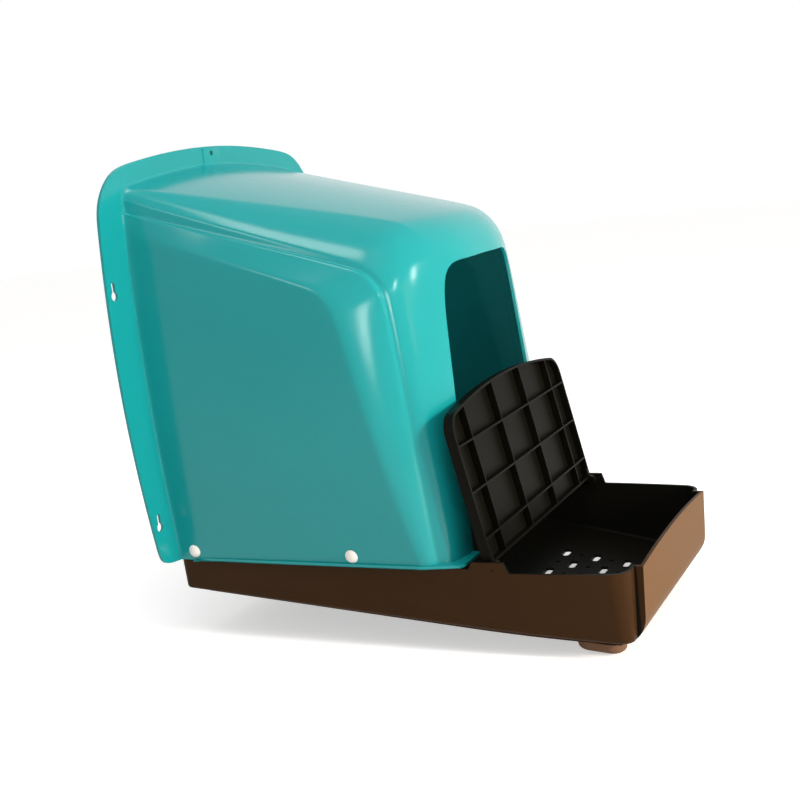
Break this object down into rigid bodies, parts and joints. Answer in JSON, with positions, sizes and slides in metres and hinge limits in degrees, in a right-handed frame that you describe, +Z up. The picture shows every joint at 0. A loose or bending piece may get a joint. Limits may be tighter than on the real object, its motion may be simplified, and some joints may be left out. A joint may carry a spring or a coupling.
{
  "type": "poultry nest box",
  "caption": "Wall-hung roll-away hen nest box: moulded hood with wall flange, riveted to a base tray whose floor slopes to an egg trough under a hinged ribbed lid.",
  "frame": {"origin": "on the wall plane, on the centre line, level with the hood's rim", "axes": "+X across, +Y into the wall, +Z up; the hens come in from -Y"},
  "size_m": [0.3958, 0.4611, 0.486],
  "materials": {
    "hood_plastic": "gloss",
    "tray_plastic": "satin",
    "lid_plastic": "satin",
    "rivet_plastic": "gloss",
    "foot_elastomer": "matt"
  },
  "bodies": {
    "box": {"hood": "hood_plastic", "base_tray": "tray_plastic", "rivet_stud_rear_left": "rivet_plastic", "rivet_stud_rear_right": "rivet_plastic", "rivet_stud_front_left": "rivet_plastic", "rivet_stud_front_right": "rivet_plastic", "rivet_collar_rear_left": "rivet_plastic", "rivet_collar_rear_right": "rivet_plastic", "rivet_collar_front_left": "rivet_plastic", "rivet_collar_front_right": "rivet_plastic", "front_foot_left": "foot_elastomer", "front_foot_right": "foot_elastomer"},
    "lid": {"egg_lid": "lid_plastic", "hinge_pin_left": "lid_plastic", "hinge_pin_right": "lid_plastic"}
  },
  "joints": [
    {"name": "lid_hinge", "type": "hinge", "parent": "box", "child": "lid", "pos_m": [0, -0.33457, 0.00096], "axis": [1, 0, 0], "range_deg": [0, 98.6]}
  ]
}
